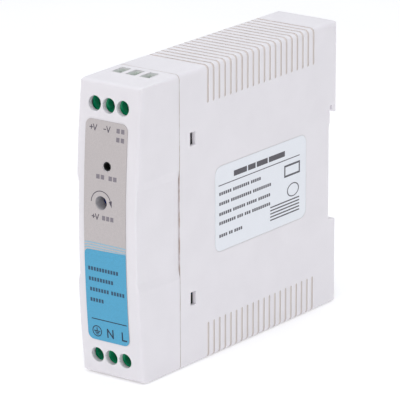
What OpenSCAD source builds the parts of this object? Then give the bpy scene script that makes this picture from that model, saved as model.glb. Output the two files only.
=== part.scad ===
// DIN rail power supply for a 35 mm top-hat rail: a slim sleeve housing, a snap-in front cover,
// two screw terminal blocks, a front board and a main board, and a sprung rail latch.
// Frame: X along the rail, Y from the front (-Y) to the rail (+Y), Z up.
// The origin is the middle of the base. Lengths are in millimetres.

/* [Case] */
// Width of the case, along the rail
case_w = 22.5; // [22.5:0.25:24]
// Height of the case
case_h = 90; // [90:0.5:92]
// Depth of the case, from the front label to the back face
case_d = 100; // [100:0.5:104]
// Depth of the front cover, ahead of the seam
cover_d = 20; // [20:0.25:20.5]
// Thickness of the housing's walls
wall = 1.3; // [1.2:0.1:1.4]
// Radius of the four long edges
edge_r = 1.5; // [1.2:0.1:1.8]
// Radius of the back edges
back_r = 0.8; // [0.4:0.1:1]

/* [Vents] */
// Number of vent grooves
groove_count = 20; // [12:1:20]
// Spacing of the vent grooves
groove_pitch = 2.825; // [2.6:0.025:2.85]
// Width of one vent groove
groove_w = 0.95; // [0.7:0.05:1.2]
// Depth of one vent groove
groove_depth = 0.3; // [0.2:0.1:0.6]
// Length of the grooves down each side, from the top or bottom face
groove_len = 11.3; // [8:0.1:14]
// Distance of the first groove from the seam
groove_start = 13.8; // [12:0.1:15]
// Length across X of the slot cut through the middle of each groove
slot_len = 8.4; // [4:0.2:12]
// Width of that slot
vent_w = 0.4; // [0.3:0.05:0.6]

/* [Front] */
// How far the bowed front falls back from its middle to the top and bottom
front_bow = 2.8; // [2:0.1:3.2]
// Height of the waist, the recess in both sides of the cover
waist_h = 27.8; // [26:0.2:29]
// Height of the slant at each end of the waist
shoulder_h = 2.6; // [2:0.1:3]
// Depth of the waist in the left side
waist_left = 0.7; // [0.3:0.05:0.7]
// Depth of the waist in the right side
waist_right = 0.4; // [0.3:0.05:0.5]
// How much the right side of the cover leans in at its front
cover_draft = 0.49; // [0.3:0.01:0.5]
// Radius of the cover's right front edge
front_r = 1.15; // [0.9:0.05:1.4]
// Radius of the cover's left front edge
left_r = 0.2; // [0.1:0.05:0.8]
// Thickness of the cover's front wall
front_wall = 1.7; // [1.5:0.1:1.9]

/* [Terminals] */
// Spacing of the terminals
pole_pitch = 5.08; // [5:0.01:5.1]
// Place across X of the middle terminal
pole_x = -0.65; // [-1:0.05:-0.3]
// Distance from the top face to the upper screws
top_screw_drop = 7.2; // [7:0.1:7.5]
// Height of the lower screws
bottom_screw_rise = 6.5; // [6.4:0.1:7]
// Radius of the screwdriver holes in the cover
driver_hole_r = 2.28; // [2.2:0.01:2.4]
// Radius of the screws
screw_r = 1.5; // [1.4:0.05:1.5]
// How far a clamp cage rises when its screw is turned
clamp_travel = 3; // [2.5:0.1:3]

/* [Rail] */
// Height of the standard rail
rail_h = 35; // [35]
// How far the latch is pulled down to free the rail
latch_travel = 3; // [2.5:0.1:3]

/* [Indicator and adjuster] */
// Place across X of the indicator hole
led_x = -0.35; // [-0.6:0.05:0]
// Height of the indicator hole above the middle of the case
led_up = 20.07; // [19.5:0.01:20.5]
// Radius of the indicator hole
led_hole_r = 1.42; // [1.3:0.01:1.45]
// Place across X of the adjuster hole
adjust_x = -2.25; // [-2.5:0.05:-2]
// Height of the adjuster hole above the middle of the case
adjust_up = 8.94; // [8.5:0.01:9.5]
// Radius of the adjuster hole
adjust_hole_r = 2; // [1.9:0.05:2.1]

/* [Hidden] */
$fn = 48;
thin = 0.01;
gap = 0.25;
fit_gap = 0.05;
hw = case_w / 2;
mid_z = case_h / 2;
front_y = -case_d / 2;
back_y = case_d / 2;
seam_y = front_y + cover_d;
inner_x = hw - wall;

// Stickers
label_t = 0.15;
side_label_t = 0.1;
side_label_y = [seam_y + 17.3, seam_y + 63.8];
side_label_z = [31.7, 57.9];
side_label_r = 2.7;
front_label_x = [-8.5, 6.7];
front_label_z = [11.35, case_h - 11.7];
front_label_r = 2;

// The bowed front is part of a large cylinder along X
face_y = front_y + label_t;
bow_r = (pow(case_h / 2, 2) + pow(front_bow, 2)) / (2 * front_bow);
bow_y = face_y + bow_r;
BOW_STEPS = 720;
seam_gap = 0.12;

// Heights of the waist and of the shoulders above and below it
waist_z = [mid_z - waist_h / 2, mid_z + waist_h / 2];
shoulder_z = [waist_z[0] - shoulder_h, waist_z[1] + shoulder_h];
cover_end_wall = 1.8;
cover_side_x = hw - 1.95;
cover_end_drop = 0.5;
tab_x = 6;

// Snap windows in the housing and the cover's snap arms
window_y = [seam_y + 5, seam_y + 7.65];
window_z = [[18.5, 22.7], [67.4, 71.5]];
arm_x = [inner_x - 1.35, inner_x - 0.15];
arm_end_y = window_y[1] - 0.55;
barb_h = 0.9;

// Rail recess in the back, and the latch below it
rail_z = [mid_z - rail_h / 2, mid_z + rail_h / 2];
seat_y = back_y - 3.6;
relief_y = back_y - 4.1;
rear_wall_y = back_y - 5.5;
upper_rear_y = back_y - 1.4;
rail_t = 1;
latch_wide = 7.9;
latch_narrow = 6.6;
latch_lip_y = back_y - 1.3;
latch_stop_z = rail_z[0] - 1;
latch_foot_z = 0.6;
spring_slot = 2.7;
pull_slot = 3;
pull_z = [3, 5.2];
latch_y = [seat_y + gap, back_y - 0.4];
spring_y = seat_y + 1.65;
spring_closed = 5.8;
spring_z = [11.2, 11.2 + spring_closed + latch_travel];
spring_r = 1.1;
spring_wire = 0.5;
spring_turns = 6;
SPRING_STEPS = 16;

// Boards
board_t = 1.6;
front_board_y = [seam_y - 1, seam_y - 1 + board_t];
front_board_x = 9;
front_board_z = [2.6, case_h - 2.8];
board_back = -hw + 2.95;
board_face = board_back + board_t;
tail_x = board_back - 0.9;
main_board_y = [seam_y + 2.6, rear_wall_y - 1];
main_board_z = [3, case_h - 3];
lead_r = 0.35;
drill_r = 0.5;
solder_r = 0.95;
solder_h = 0.75;
rib_t = 1.1;
rib_len = 8;
rib_h = 3.2;
rib_places = [seam_y + 10, seam_y + 36, seam_y + 62];

// Terminal blocks. Heights are from the screw's axis, outwards towards the wire entry.
pole_offsets = [-pole_pitch, 0, pole_pitch];
block_half_w = pole_pitch * 1.5;
block_y = [seam_y - 15.4, front_board_y[0]];
block_z = [-5, 4.6];
well_r = 2.1;
head_r = 1.85;
head_y = [block_y[0] + 2, block_y[0] + 3.3];
web_y = [head_y[1] + fit_gap, head_y[1] + 0.45];
cage_y = [web_y[1] + fit_gap + clamp_travel, front_board_y[0] - 0.7];
cage_x = 1.9;
cage_z = 2.8;
cage_front = 1.4;
cage_side = 0.5;
bar_y = [cage_y[0] + 1.7, cage_y[0] + 2.5];
bar_x = 1.1;
pin_half = 0.45;
pin_z = [-4.4, -3.6];
pin_drill_r = 0.75;
pin_tail = 0.9;
entry_y = [seam_y - 7.4, seam_y - 2.2];
entry_w = 3.5;
entry_shift = -0.35;
slot_w = 0.7;
slot_depth = 0.7;
cross_len = 2.4;

// Indicator and adjuster
led_z = mid_z + led_up;
adjust_z = mid_z + adjust_up;
led_r = 1.5;
led_tip_y = front_y + 3;
led_base_y = led_tip_y + 4.4;
led_lead_x = 1.27;
bezel_r = [1.1, led_hole_r - 0.02];
bezel_y = [front_y + 0.85, led_tip_y - 0.1];
guide_r = 3;
guide_end_y = front_y + 4.1;
trimmer_x = 3.2;
trimmer_z = 3.4;
trimmer_lead_x = 2.5;
trimmer_y = [guide_end_y + 0.2, guide_end_y + 6.8];
rotor_r = 1.2;
rotor_y = [trimmer_y[0] + 0.1, trimmer_y[0] + 3];

// Component places on the main board, as [Y, Z]
y0 = seam_y + 30;
fuse_at = [y0 - 19, 34.5];
thermistor_at = [y0 - 11, 12];
varistor_at = [y0 - 4, 12.5];
line_cap_at = [y0 + 4.75, 11.75];
choke_at = [y0 + 16.5, 13.5];
bridge_at = [y0 + 31, 12.5];
bulk_at = [y0 + 34.5, 26];
transformer_at = [y0 + 6, 38];
switch_at = [y0 + 20.2, 37];
control_at = [y0 + 20.2, 55.65];
opto_at = [y0 + 6.2, 52.85];
safety_cap_at = [y0 - 7.7, 50];
diode_at = [y0 - 11.1, 66];
output_caps_at = [[y0, 66], [y0, 78], [y0 + 11.5, 78.5]];
inductor_at = [y0 + 12.5, 65.5];
bias_cap_at = [y0 + 25, 69];
film_cap_at = [y0 + 33, 69];
power_resistor_at = [y0 + 40.5, 70];
resistors_at = [
    [y0 - 19.5, 56], [y0 - 19.5, 76], [y0 + 21, 80], [y0 + 30, 81.2], [y0 - 11, 38], [y0 - 11, 26]];
lower_links = [13.5, 16, 26];
upper_links = [58.5, 61, 63.5, 66, 74];
link_y = seam_y + 5.5;
link_x = board_face + 1.1;
link_pin = 0.48;

// Leads of each component, as [Y, Z]
function pair_y(at, half) = [[at[0] - half, at[1]], [at[0] + half, at[1]]];
function pair_z(at, half) = [[at[0], at[1] - half], [at[0], at[1] + half]];
function chip_leads(at, half_row, count) =
    [for (s = [-1, 1], i = [0:count - 1]) [at[0] + s * half_row, at[1] + (i - (count - 1) / 2) * 2.54]];
fuse_leads = pair_z(fuse_at, 11.8);
thermistor_leads = pair_z(thermistor_at, 2.5);
varistor_leads = pair_z(varistor_at, 2.5);
line_cap_leads = pair_z(line_cap_at, 5);
choke_leads = [for (s = [-1, 1], t = [-1, 1]) [choke_at[0] + s * 2.5, choke_at[1] + t * 4.5]];
bridge_leads = chip_leads(bridge_at, 3.8, 2);
bulk_leads = pair_y([bulk_at[0], bulk_at[1] - 1.7], 3.75);
transformer_leads = [for (s = [-1, 1], t = [-6, -2.2, 2.2, 6])
    [transformer_at[0] + t, transformer_at[1] + s * 7]];
switch_leads = [for (t = [-2.3, 0, 2.3]) [switch_at[0] - 0.2, switch_at[1] + t]];
control_leads = chip_leads(control_at, 3.81, 4);
opto_leads = chip_leads(opto_at, 3.81, 2);
safety_cap_leads = pair_z(safety_cap_at, 2.5);
diode_leads = [for (t = [-2.3, 0, 2.3]) [diode_at[0] + 0.2, diode_at[1] + t]];
output_cap_leads = [for (at = output_caps_at) each pair_z(at, 2.5)];
inductor_leads = pair_y(inductor_at, 2.5);
bias_cap_leads = pair_z(bias_cap_at, 1.75);
film_cap_leads = pair_z(film_cap_at, 5);
power_resistor_leads = pair_z(power_resistor_at, 8);
resistor_leads = [for (at = resistors_at) each pair_z(at, 5)];
link_leads = [for (z = concat(lower_links, upper_links)) [link_y, z]];
main_leads = concat(fuse_leads, thermistor_leads, varistor_leads, line_cap_leads, choke_leads,
    bridge_leads, bulk_leads, transformer_leads, switch_leads, control_leads, opto_leads,
    safety_cap_leads, diode_leads, output_cap_leads, inductor_leads, bias_cap_leads,
    film_cap_leads, power_resistor_leads, resistor_leads, link_leads);

// ---- Helpers ----

// A box between two corners, given as ranges
module block(x, y, z) {
    translate([x[0], y[0], z[0]]) cube([x[1] - x[0], y[1] - y[0], z[1] - z[0]]);
}

module rod_x(y, z, x, r) {
    translate([x[0], y, z]) rotate([0, 90, 0]) cylinder(r = r, h = x[1] - x[0]);
}

module rod_y(x, z, y, r) {
    translate([x, y[1], z]) rotate([90, 0, 0]) cylinder(r = r, h = y[1] - y[0]);
}

module rod_z(x, y, z, r) {
    translate([x, y, z[0]]) cylinder(r = r, h = z[1] - z[0]);
}

// An outline drawn in X and Z, pushed along Y
module along_y(y) {
    translate([0, y[1], 0]) rotate([90, 0, 0]) linear_extrude(y[1] - y[0]) children();
}

// An outline drawn in Y and Z, pushed along X
module along_x(x) {
    translate([x[0], 0, 0]) rotate([90, 0, 90]) linear_extrude(x[1] - x[0]) children();
}

// A rectangle with round corners, given as ranges
module round_rect(x, y, r) {
    translate([x[0] + r, y[0]]) square([x[1] - x[0] - 2 * r, y[1] - y[0]]);
    translate([x[0], y[0] + r]) square([x[1] - x[0], y[1] - y[0] - 2 * r]);
    for (cx = [x[0] + r, x[1] - r], cy = [y[0] + r, y[1] - r]) translate([cx, cy]) circle(r);
}

module both_sides() {
    children();
    mirror([1, 0, 0]) children();
}

// Leads through the main board, up to a given height over it
module leads(places, top_x) {
    for (p = places) rod_x(p[0], p[1], [tail_x, top_x], lead_r);
}

// Moves one terminal's parts from the screw's axis to a pole of the upper or lower block
module at_pole(top, i) {
    z = top ? case_h - top_screw_drop : bottom_screw_rise;
    translate([pole_x + pole_offsets[i], 0, z]) mirror([0, 0, top ? 0 : 1]) children();
}

// ---- Case ----

// Side view of the housing, with the hook, the rail seat and the ledge in its back
module housing_side() {
    difference() {
        round_rect([seam_y - back_r, back_y], [0, case_h], back_r);
        polygon([
            [back_y + 1, rail_z[0] - 0.5],
            [back_y - 0.1, rail_z[0] - 0.45],
            [relief_y, rail_z[0] + 0.3],
            [relief_y, rail_z[1] - 5.5],
            [seat_y, rail_z[1] - 4],
            [seat_y, rail_z[1] - 1.3],
            [relief_y + 0.16, rail_z[1] + 0.47],
            [seat_y + 0.2, rail_z[1] + 1.3],
            [seat_y + 1.4, rail_z[1] + 1.3],
            [seat_y + 1.5, rail_z[1] - 0.2],
            [back_y - 0.8, rail_z[1] - 1.1],
            [back_y - 0.3, rail_z[1] - 1.1],
            [back_y, rail_z[1] - 0.6],
            [back_y + 1, rail_z[1] - 0.6]]);
    }
}

module housing_shell() {
    intersection() {
        along_y([seam_y, back_y]) round_rect([-hw, hw], [0, case_h], edge_r);
        along_x([-hw - 1, hw + 1]) housing_side();
        linear_extrude(case_h) round_rect([-hw, hw], [seam_y - 2, back_y], back_r);
    }
}

module housing_cavity() {
    intersection() {
        along_y([seam_y - 1, back_y])
            round_rect([-inner_x, inner_x], [wall, case_h - wall], edge_r - wall / 2);
        along_x([-hw, hw]) polygon([
            [seam_y - 1, 0],
            [rear_wall_y, 0],
            [rear_wall_y, rail_z[1] + 2.8],
            [upper_rear_y, rail_z[1] + 2.8],
            [upper_rear_y, case_h],
            [seam_y - 1, case_h]]);
    }
}

// One vent groove: over the top and bottom, round the edges and down the sides to round ends
module vent_groove(y) {
    end_z = [groove_len - groove_w / 2, case_h - groove_len + groove_w / 2];
    along_y([y - groove_w / 2, y + groove_w / 2]) difference() {
        translate([-hw - 1, -1]) square([case_w + 2, case_h + 2]);
        round_rect([groove_depth - hw, hw - groove_depth], [groove_depth, case_h - groove_depth],
            edge_r - groove_depth);
        translate([-hw - 2, end_z[0]]) square([case_w + 4, end_z[1] - end_z[0]]);
    }
    both_sides() for (z = end_z) rod_x(y, z, [hw - groove_depth, hw + 1], groove_w / 2);
    for (z = [[-1, wall + 1], [case_h - wall - 1, case_h + 1]])
        block([-slot_len / 2, slot_len / 2], [y - vent_w / 2, y + vent_w / 2], z);
}

// Short ribs on both faces of the main board's top and bottom edges
module board_ribs() {
    for (y = rib_places, x = [board_back - gap - rib_t, board_face + gap])
        for (z = [wall - 0.2, case_h - wall - rib_h + 0.2])
            block([x, x + rib_t], [y, y + rib_len], [z, z + rib_h]);
}

module latch_channel() {
    block([-latch_wide, latch_wide], [seat_y, latch_lip_y], [-1, latch_stop_z]);
    block([-latch_narrow, latch_narrow], [seat_y, back_y + 1], [-1, rail_z[0] + 1]);
}

module housing() {
    shelf_z = [spring_z[0] - 1.5, spring_z[0]];
    color("WhiteSmoke") {
        difference() {
            housing_shell();
            housing_cavity();
            latch_channel();
            for (i = [0:groove_count - 1]) vent_groove(seam_y + groove_start + i * groove_pitch);
            for (z = window_z) block([-hw - 1, hw + 1], window_y, z);
            along_x([hw - side_label_t, hw + 1])
                round_rect(side_label_y - [0.1, -0.1], side_label_z - [0.1, -0.1], side_label_r + 0.1);
        }
        board_ribs();
        block([-2, 2], [seat_y - 0.5, back_y - 0.7], shelf_z);
    }
}

// Plan of the cover, with its front at Y = 0. The right side widens back to the seam.
module cover_plan() {
    right_x = hw - cover_draft;
    depth = cover_d - label_t - front_bow;
    polygon([
        [-hw, 2 * cover_d],
        [-hw, left_r],
        [left_r - hw, 0],
        [right_x - front_r, 0],
        [right_x, front_r],
        [hw, depth],
        [hw, 2 * cover_d]]);
    translate([left_r - hw, left_r]) circle(left_r);
    translate([right_x - front_r, front_r]) circle(front_r);
}

// Side view of the cover, its top and bottom corners round and touching the bow
module cover_side() {
    arc_steps = 8;
    corner_z = case_h - cover_end_drop - front_r;
    lean = asin((corner_z - mid_z) / (bow_r - front_r));
    corner = [bow_y - (bow_r - front_r) * cos(lean), corner_z];
    arc = [for (i = [0:arc_steps]) let (a = 180 - lean - i * (90 - lean) / arc_steps)
        corner + front_r * [cos(a), sin(a)]];
    ahead = [arc[0][0] - tan(lean) * (arc[0][1] - mid_z), mid_z];
    upper = concat([ahead], arc, [[seam_y - seam_gap, case_h]]);
    lower = [for (i = [len(upper) - 1:-1:1]) [upper[i][0], case_h - upper[i][1]]];
    polygon(concat(lower, upper));
}

module mirror_half() {
    children();
    translate([0, 0, case_h]) mirror([0, 0, 1]) children();
}

// The recess in one side of the cover
module waist_cut(depth, lean) {
    translate([hw, seam_y, 0]) rotate([0, 0, -lean]) along_y([-2 * cover_d, 1]) polygon([
        [1, shoulder_z[0] - shoulder_h],
        [0, shoulder_z[0]],
        [-depth, waist_z[0]],
        [-depth, waist_z[1]],
        [0, shoulder_z[1]],
        [1, shoulder_z[1] + shoulder_h]]);
}

module cover_outside() {
    difference() {
        intersection() {
            along_x([-hw - 1, hw + 1]) cover_side();
            along_y([front_y, seam_y]) round_rect([-hw, hw], [0, case_h], edge_r);
            translate([0, bow_y, mid_z]) rotate([0, 90, 0]) rotate_extrude($fn = BOW_STEPS)
                translate([bow_r, 0]) rotate(90) cover_plan();
        }
        waist_cut(waist_right, atan(cover_draft / cover_d));
        mirror([1, 0, 0]) waist_cut(waist_left, 0);
    }
}

module cover_cavity() {
    x = [-cover_side_x, cover_side_x];
    intersection() {
        block(x, [front_y, seam_y + 1], [cover_end_wall, case_h - cover_end_wall]);
        rod_x(bow_y, mid_z, x, bow_r - front_wall, $fn = BOW_STEPS);
    }
}

// An arm inside the housing's wall, with a barb that catches the window's front edge
module snap_arm(z) {
    clear_z = [z[0] + 0.3, z[1] - 0.3];
    block(arm_x, [seam_y - 4, arm_end_y], clear_z);
    translate([0, 0, clear_z[0]]) linear_extrude(clear_z[1] - clear_z[0]) polygon([
        [arm_x[1] - thin, window_y[0] + 0.15],
        [arm_x[1] + barb_h, window_y[0] + 0.15],
        [arm_x[1] + barb_h, window_y[0] + 0.5],
        [arm_x[1] - thin, arm_end_y]]);
}

module front_cover() {
    color("WhiteSmoke") {
        difference() {
            union() {
                difference() {
                    cover_outside();
                    cover_cavity();
                }
                rod_y(adjust_x, adjust_z, [face_y + front_wall / 2, guide_end_y], guide_r);
            }
            rod_y(adjust_x, adjust_z, [front_y - 1, guide_end_y + 1], adjust_hole_r);
            rod_y(led_x, led_z, [front_y - 1, front_y + 4], led_hole_r);
            for (i = [0:2]) {
                for (top = [true, false]) at_pole(top, i) {
                    rod_y(0, 0, [front_y - 1, block_y[0]], driver_hole_r);
                    block([entry_shift - entry_w / 2, entry_shift + entry_w / 2], entry_y, [block_z[1], 9]);
                }
            }
        }
        both_sides() for (z = window_z) snap_arm(z);
        mirror_half() block([-tab_x, tab_x], [seam_y - 0.9, seam_y + 2],
            [case_h - cover_end_wall - 0.6, case_h - cover_end_wall + thin]);
    }
}

// The front sticker, which follows the bow
module front_label() {
    color("Silver") difference() {
        intersection() {
            rod_x(bow_y, mid_z, front_label_x, bow_r + label_t, $fn = BOW_STEPS);
            along_y([front_y - 1, seam_y]) round_rect(front_label_x, front_label_z, front_label_r);
        }
        rod_x(bow_y, mid_z, front_label_x + [-1, 1], bow_r + thin, $fn = BOW_STEPS);
        rod_y(adjust_x, adjust_z, [front_y - 1, seam_y], adjust_hole_r + 0.1);
        rod_y(led_x, led_z, [front_y - 1, seam_y], led_hole_r + 0.1);
    }
}

module side_label() {
    color("AliceBlue") along_x([hw - side_label_t, hw]) round_rect(side_label_y, side_label_z, side_label_r);
}

// ---- Rail latch ----

module din_latch() {
    narrow = latch_narrow - gap;
    wide = latch_wide - gap;
    nose_y = seat_y + rail_t + 0.35;
    color("WhiteSmoke") difference() {
        union() {
            block([-narrow, narrow], latch_y, [latch_foot_z, rail_z[0] - 0.3]);
            block([-wide, wide], [latch_y[0], latch_lip_y - gap], [latch_foot_z, latch_stop_z - gap]);
            along_x([-narrow, narrow]) polygon([
                [nose_y, rail_z[0] - 1],
                [latch_y[1], rail_z[0] - 1],
                [latch_y[1], rail_z[0] + 0.4],
                [nose_y + 0.6, rail_z[0] + 2.5],
                [nose_y, rail_z[0] + 2.5]]);
        }
        block([-spring_slot, spring_slot], [seat_y, back_y], [spring_z[0] - 1.9, spring_z[1]]);
        block([-pull_slot, pull_slot], [seat_y, back_y], pull_z);
    }
}

// A coil of round wire, swept as rings along a helix
module latch_spring() {
    length = spring_z[1] - spring_z[0] - spring_wire - 2 * thin;
    count = spring_turns * SPRING_STEPS;
    sides = 8;
    rings = [for (i = [0:count], s = [0:sides - 1])
        let (a = 360 * i / SPRING_STEPS, b = 360 * s / sides, r = spring_r + cos(b) * spring_wire / 2)
            [r * cos(a), r * sin(a), length * i / count + sin(b) * spring_wire / 2]];
    walls = [for (i = [0:count - 1], s = [0:sides - 1])
        let (n = (s + 1) % sides) [i * sides + s, i * sides + n, (i + 1) * sides + n, (i + 1) * sides + s]];
    start = [for (s = [sides - 1:-1:0]) s];
    end = [for (s = [0:sides - 1]) count * sides + s];
    color("Silver") translate([0, spring_y, spring_z[0] + spring_wire / 2 + thin])
        polyhedron(points = rings,
            faces = [for (f = concat([start], [end], walls)) [for (k = [len(f) - 1:-1:0]) f[k]]]);
}

// ---- Boards ----

module terminal_board() {
    notch_x = arm_x[0] - 0.3;
    through_y = front_board_y + [-1, 1];
    color("DarkGreen") difference() {
        block([-front_board_x, front_board_x], front_board_y, front_board_z);
        both_sides() for (z = window_z)
            block([notch_x, front_board_x + 1], through_y, z + [-0.3, 0.3]);
        for (i = [0:2], top = [true, false]) at_pole(top, i)
            rod_y(0, (pin_z[0] + pin_z[1]) / 2, through_y, pin_drill_r);
        for (s = [-1, 1]) {
            rod_y(led_x + s * led_lead_x, led_z, through_y, drill_r);
            rod_y(adjust_x + s * trimmer_lead_x, adjust_z, through_y, drill_r);
        }
        for (z = concat(lower_links, upper_links))
            rod_y(link_x, z, through_y, drill_r);
    }
}

module main_board() {
    color("ForestGreen") difference() {
        block([board_back, board_face], main_board_y, main_board_z);
        for (p = main_leads) rod_x(p[0], p[1], [board_back - 1, board_face + 1], drill_r);
    }
}

module insulation_sheet() {
    color("Ivory")
        block([0.1 - inner_x, 0.3 - inner_x], [seam_y + 11, rear_wall_y - 1.5], [5.2, case_h - 5.2]);
}

// A fillet of solder round each lead, on the back of the main board
module solder_joints() {
    color("LightGray") difference() {
        for (p = main_leads) translate([board_back, p[0], p[1]]) rotate([0, -90, 0])
            cylinder(r1 = solder_r, r2 = lead_r + 0.1, h = solder_h);
        for (p = main_leads) rod_x(p[0], p[1], [tail_x - 1, board_face], lead_r + thin);
    }
}

module link_headers() {
    color("DimGray") difference() {
        for (z = [lower_links, upper_links])
            block([board_face, board_face + 2.5], [link_y - 2.5, link_y - 0.4],
                [z[0] - 1.5, z[len(z) - 1] + 1.5]);
        for (z = concat(lower_links, upper_links)) link_shape(z, link_pin + 0.02);
    }
}

// An L-shaped pin, from the front board back and down into the main board
module link_shape(z, size) {
    half = size / 2;
    block([link_x - half, link_x + half], [front_board_y[0] - 0.7, link_y + half], [z - half, z + half]);
    block([tail_x, link_x + half], [link_y - half, link_y + half], [z - half, z + half]);
}

module link_pins() {
    color("Gold") for (z = concat(lower_links, upper_links)) link_shape(z, link_pin);
}

// ---- Terminals ----

module terminal_block(top) {
    z = top ? case_h - top_screw_drop : bottom_screw_rise;
    color("SeaGreen") difference() {
        translate([pole_x, 0, z]) mirror([0, 0, top ? 0 : 1])
            block([-block_half_w, block_half_w], block_y, block_z);
        for (i = [0:2]) at_pole(top, i) {
            rod_y(0, 0, [block_y[0] - 1, web_y[0]], well_r);
            rod_y(0, 0, [web_y[0] - 1, web_y[1] + 1], screw_r + fit_gap);
            block([-cage_x - gap, cage_x + gap], [web_y[1], block_y[1] - 0.5],
                [-cage_z - gap, cage_z + gap]);
            block([-bar_x - fit_gap, bar_x + fit_gap], [bar_y[0] - fit_gap, block_y[1] + 1],
                [pin_z[0] - fit_gap, -cage_z]);
            block([-cage_x, cage_x], entry_y, [0, block_z[1] + 1]);
        }
    }
}

// The fixed bar that a wire is clamped against, with its solder pin
module contact_bars(top) {
    color("Gold") for (i = [0:2]) at_pole(top, i) {
        block([-bar_x, bar_x], bar_y, [pin_z[0], cage_z]);
        block([-pin_half, pin_half], [bar_y[1] - thin, front_board_y[1] + pin_tail], pin_z);
    }
}

module terminal_screw() {
    slot_y = [head_y[0] - 1, head_y[0] + slot_depth];
    color("Silver") difference() {
        union() {
            rod_y(0, 0, head_y, head_r);
            rod_y(0, 0, [head_y[1] - thin, bar_y[0] - fit_gap], screw_r);
        }
        block([-head_r - 1, head_r + 1], slot_y, [-slot_w / 2, slot_w / 2]);
        block([-slot_w / 2, slot_w / 2], slot_y, [-cross_len / 2, cross_len / 2]);
    }
}

module clamp_cage() {
    inside = cage_x - cage_side;
    color("LightGray") difference() {
        block([-cage_x, cage_x], cage_y, [-cage_z, cage_z]);
        block([-inside, inside], [cage_y[0] + cage_front, cage_y[1] - cage_side], [-cage_z - 1, cage_z + 1]);
        rod_y(0, 0, [cage_y[0] - 1, bar_y[0] + clamp_travel + 0.1], screw_r + fit_gap);
    }
}

// ---- Indicator and adjuster ----

module indicator_led() {
    color("LimeGreen") {
        translate([led_x, led_tip_y + led_r, led_z]) sphere(led_r);
        rod_y(led_x, led_z, [led_tip_y + led_r, led_base_y - 0.8], led_r);
        rod_y(led_x, led_z, [led_base_y - 0.8, led_base_y], led_r + 0.3);
        for (s = [-1, 1])
            rod_y(led_x + s * led_lead_x, led_z, [led_base_y - thin, front_board_y[1] + pin_tail], 0.3);
    }
}

module led_bezel() {
    color("DimGray") difference() {
        rod_y(led_x, led_z, bezel_y, bezel_r[1]);
        rod_y(led_x, led_z, bezel_y + [-1, 1], bezel_r[0]);
    }
}

module led_spacer() {
    color("DimGray") difference() {
        rod_y(led_x, led_z, [led_base_y, front_board_y[0]], led_r + 0.7);
        for (s = [-1, 1]) rod_y(led_x + s * led_lead_x, led_z, [led_base_y - 1, front_board_y[0] + 1], 0.38);
    }
}

module trimmer_block(y) {
    block([adjust_x - trimmer_x, adjust_x + trimmer_x], y, [adjust_z - trimmer_z, adjust_z + trimmer_z]);
}

module trimmer_body() {
    color("RoyalBlue") {
        difference() {
            trimmer_block(trimmer_y);
            rod_y(adjust_x, adjust_z, [trimmer_y[0] - 1, rotor_y[1] + fit_gap], rotor_r + fit_gap);
        }
        for (s = [-1, 1])
            rod_y(adjust_x + s * trimmer_lead_x, adjust_z, [trimmer_y[1] - thin, front_board_y[1] + pin_tail],
                lead_r);
    }
}

module trimmer_rotor() {
    color("White") difference() {
        rod_y(adjust_x, adjust_z, rotor_y, rotor_r);
        for (a = [0, 90]) translate([adjust_x, 0, adjust_z]) rotate([0, a, 0])
            block([-0.9, 0.9], [rotor_y[0] - 1, rotor_y[0] + 0.6], [-0.25, 0.25]);
    }
}

// A block that holds the trimmer off the front board
module trimmer_riser() {
    color("DimGray") difference() {
        trimmer_block([trimmer_y[1], front_board_y[0]]);
        for (s = [-1, 1])
            rod_y(adjust_x + s * trimmer_lead_x, adjust_z, [trimmer_y[1] - 1, seam_y], lead_r + fit_gap);
    }
}

// ---- Main board components ----

fuse_x = board_face + 3.2;
fuse_half = 10;

module fuse_tube() {
    color("Linen") rod_z(fuse_x, fuse_at[0], [fuse_at[1] - fuse_half + 1, fuse_at[1] + fuse_half - 1], 2.3);
}

module fuse_caps() {
    color("Silver") for (s = [-1, 1]) {
        z = fuse_at[1] + s * (fuse_half - 2);
        end = fuse_at[1] + s * 11.8;
        difference() {
            rod_z(fuse_x, fuse_at[0], [z - 2, z + 2], 2.6);
            rod_z(fuse_x, fuse_at[0], [fuse_at[1] - fuse_half + 1, fuse_at[1] + fuse_half - 1], 2.3 + thin);
        }
        rod_z(fuse_x, fuse_at[0], [min(z + s * 1.9, end), max(z + s * 1.9, end)], lead_r);
        rod_x(fuse_at[0], end, [tail_x, fuse_x], lead_r);
    }
}

// A disc standing on edge on two leads
module disc_part(at, r, t, lead_places) {
    x = board_face + r + 0.4;
    translate([x, at[0] + t / 2, at[1]]) rotate([90, 0, 0]) rotate_extrude() {
        square([r - t / 4, t]);
        translate([r - t / 4, t / 4]) square([t / 4, t / 2]);
        for (y = [t / 4, t * 3 / 4]) translate([r - t / 4, y]) circle(t / 4);
    }
    for (p = lead_places) rod_x(at[0], p[1], [tail_x, x - r / 2], lead_r);
}

module inrush_thermistor() {
    color("DarkOliveGreen") disc_part(thermistor_at, 4.5, 4, thermistor_leads);
}

module surge_varistor() {
    color("SteelBlue") disc_part(varistor_at, 5, 4, varistor_leads);
}

module safety_capacitor() {
    color("DodgerBlue") disc_part(safety_cap_at, 4, 3.6, safety_cap_leads);
}

// A box capacitor standing on two leads
module box_part(at, size, lead_places) {
    block([board_face + 0.1, board_face + 0.1 + size[0]], [at[0] - size[1] / 2, at[0] + size[1] / 2],
        [at[1] - size[2] / 2, at[1] + size[2] / 2]);
    leads(lead_places, board_face + 0.2);
}

module line_capacitor() {
    color("Gold") box_part(line_cap_at, [12.4, 6.5, 13.5], line_cap_leads);
}

module film_capacitor() {
    color("FireBrick") box_part(film_cap_at, [10.5, 5, 13], film_cap_leads);
}

choke_x = board_face + 7.3;
choke_y = [choke_at[0] - 2.5, choke_at[0] + 2.5];

module choke_core() {
    color("DarkSlateGray") difference() {
        rod_y(choke_x, choke_at[1], choke_y, 6);
        rod_y(choke_x, choke_at[1], choke_y + [-1, 1], 3.2);
    }
}

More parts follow.
